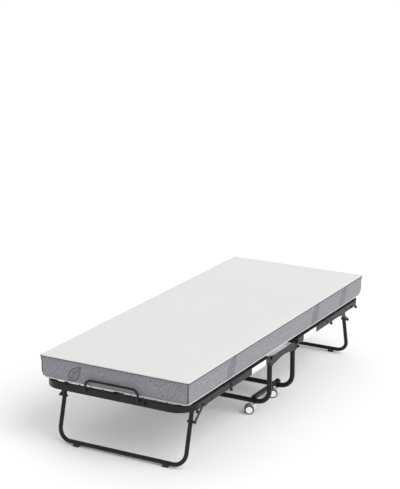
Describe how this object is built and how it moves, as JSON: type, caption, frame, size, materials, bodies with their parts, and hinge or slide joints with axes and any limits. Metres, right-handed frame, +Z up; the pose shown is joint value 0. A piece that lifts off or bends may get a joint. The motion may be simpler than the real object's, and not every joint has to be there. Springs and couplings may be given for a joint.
{
  "type": "rollaway bed",
  "caption": "Folding rollaway bed on casters: hinged mesh half frames, fold-away end legs, foam mattress and a locking hook.",
  "frame": {"origin": "on the floor under the middle of the open bed", "axes": "+X across the bed, +Y along it towards the end with the locking hook, +Z up"},
  "size_m": [0.792, 1.922, 0.44],
  "materials": {
    "frame": "satin black powder coat",
    "zinc": "dark zinc-plated fasteners",
    "spring_steel": "oiled spring wire",
    "rubber": "black moulded rubber",
    "tyre": "black tread",
    "caster_plastic": "white nylon",
    "strap": "white woven strap",
    "mattress": "heathered grey knit with a pale top"
  },
  "bodies": {
    "base": {"base_loop_near": "frame", "base_loop_far": "frame", "base_crossbars": "frame", "side_plate_left": "frame", "side_plate_right": "frame", "pivot_bolts": "zinc", "stop_knobs": "rubber", "caster_stems": "zinc", "mattress_centre": "mattress"},
    "near_half": {"near_end_frame": "frame", "near_side_rail_left": "frame", "near_side_rail_right": "frame", "near_crossbars": "frame", "near_centre_bars": "frame", "near_mesh_outer": "frame", "near_mesh_inner": "frame", "near_bolts": "zinc", "near_leg_brackets": "frame", "near_brace_guides": "frame", "near_leg_springs": "spring_steel", "near_straps": "strap", "near_bumpers": "rubber", "near_mattress": "mattress", "mattress_hoop": "frame", "hook_catch": "zinc"},
    "far_half": {"far_end_frame": "frame", "far_side_rail_left": "frame", "far_side_rail_right": "frame", "far_crossbars": "frame", "far_centre_bars": "frame", "far_mesh_outer": "frame", "far_mesh_inner": "frame", "far_bolts": "zinc", "far_leg_brackets": "frame", "far_brace_guides": "frame", "far_leg_springs": "spring_steel", "far_straps": "strap", "far_bumpers": "rubber", "far_mattress": "mattress"},
    "near_leg_set": {"near_leg": "frame", "near_leg_pads": "rubber", "near_brace_bolts": "zinc"},
    "near_brace_set": {"near_braces": "frame"},
    "far_leg_set": {"far_leg": "frame", "far_leg_pads": "rubber", "far_brace_bolts": "zinc"},
    "far_brace_set": {"far_braces": "frame"},
    "hook": {"lock_hook": "frame"},
    "swivel_near_left": {"caster_body_near_left": "caster_plastic"},
    "wheels_near_left": {"caster_hubs_near_left": "caster_plastic", "caster_tyres_near_left": "tyre"},
    "swivel_near_right": {"caster_body_near_right": "caster_plastic"},
    "wheels_near_right": {"caster_hubs_near_right": "caster_plastic", "caster_tyres_near_right": "tyre"},
    "swivel_far_left": {"caster_body_far_left": "caster_plastic"},
    "wheels_far_left": {"caster_hubs_far_left": "caster_plastic", "caster_tyres_far_left": "tyre"},
    "swivel_far_right": {"caster_body_far_right": "caster_plastic"},
    "wheels_far_right": {"caster_hubs_far_right": "caster_plastic", "caster_tyres_far_right": "tyre"}
  },
  "joints": [
    {"name": "near_fold", "type": "hinge", "parent": "base", "child": "near_half", "pos_m": [0, -0.142, 0.305], "axis": [-1, 0, 0], "range_deg": [0, 90], "deforming": ["mattress_centre"]},
    {"name": "near_leg_fold", "type": "hinge", "parent": "near_half", "child": "near_leg_set", "pos_m": [0, -0.812, 0.297], "axis": [1, 0, 0], "range_deg": [0, 99], "deforming": ["near_leg_springs"]},
    {"name": "far_fold", "type": "hinge", "parent": "base", "child": "far_half", "pos_m": [0, 0.142, 0.305], "axis": [1, 0, 0], "range_deg": [0, 90], "deforming": ["mattress_centre"]},
    {"name": "far_leg_fold", "type": "hinge", "parent": "far_half", "child": "far_leg_set", "pos_m": [0, 0.812, 0.297], "axis": [-1, 0, 0], "range_deg": [0, 99], "deforming": ["far_leg_springs"]},
    {"name": "near_brace_swing", "type": "hinge", "parent": "near_leg_set", "child": "near_brace_set", "pos_m": [0, -0.834, 0.2149], "axis": [-1, 0, 0], "range_deg": [0, 135.4]},
    {"name": "far_brace_swing", "type": "hinge", "parent": "far_leg_set", "child": "far_brace_set", "pos_m": [0, 0.834, 0.2149], "axis": [1, 0, 0], "range_deg": [0, 135.4]},
    {"name": "hook_swing", "type": "hinge", "parent": "far_half", "child": "hook", "pos_m": [0.165, 0.9543, 0.305], "axis": [0, 1, 0], "range_deg": [0, 90]},
    {"name": "swivel_near_left", "type": "hinge", "parent": "base", "child": "swivel_near_left", "pos_m": [-0.29, -0.127, 0.045], "axis": [0, 0, 1], "continuous": true},
    {"name": "roll_near_left", "type": "hinge", "parent": "swivel_near_left", "child": "wheels_near_left", "pos_m": [-0.26651, -0.11845, 0.023], "axis": [-0.342, 0.9397, 0], "continuous": true},
    {"name": "swivel_near_right", "type": "hinge", "parent": "base", "child": "swivel_near_right", "pos_m": [0.29, -0.127, 0.045], "axis": [0, 0, 1], "continuous": true},
    {"name": "roll_near_right", "type": "hinge", "parent": "swivel_near_right", "child": "wheels_near_right", "pos_m": [0.26814, -0.13912, 0.023], "axis": [0.4848, -0.8746, 0], "continuous": true},
    {"name": "swivel_far_left", "type": "hinge", "parent": "base", "child": "swivel_far_left", "pos_m": [-0.29, 0.127, 0.045], "axis": [0, 0, 1], "continuous": true},
    {"name": "roll_far_left", "type": "hinge", "parent": "swivel_far_left", "child": "wheels_far_left", "pos_m": [-0.31165, 0.1395, 0.023], "axis": [-0.5, -0.866, 0], "continuous": true},
    {"name": "swivel_far_right", "type": "hinge", "parent": "base", "child": "swivel_far_right", "pos_m": [0.29, 0.127, 0.045], "axis": [0, 0, 1], "continuous": true},
    {"name": "roll_far_right", "type": "hinge", "parent": "swivel_far_right", "child": "wheels_far_right", "pos_m": [0.26927, 0.11302, 0.023], "axis": [0.5592, -0.829, 0], "continuous": true}
  ],
  "couplings": [
    {"joint": "near_brace_swing", "follows": "near_leg_fold", "ratio": 1.3631},
    {"joint": "far_brace_swing", "follows": "far_leg_fold", "ratio": 1.3631}
  ]
}
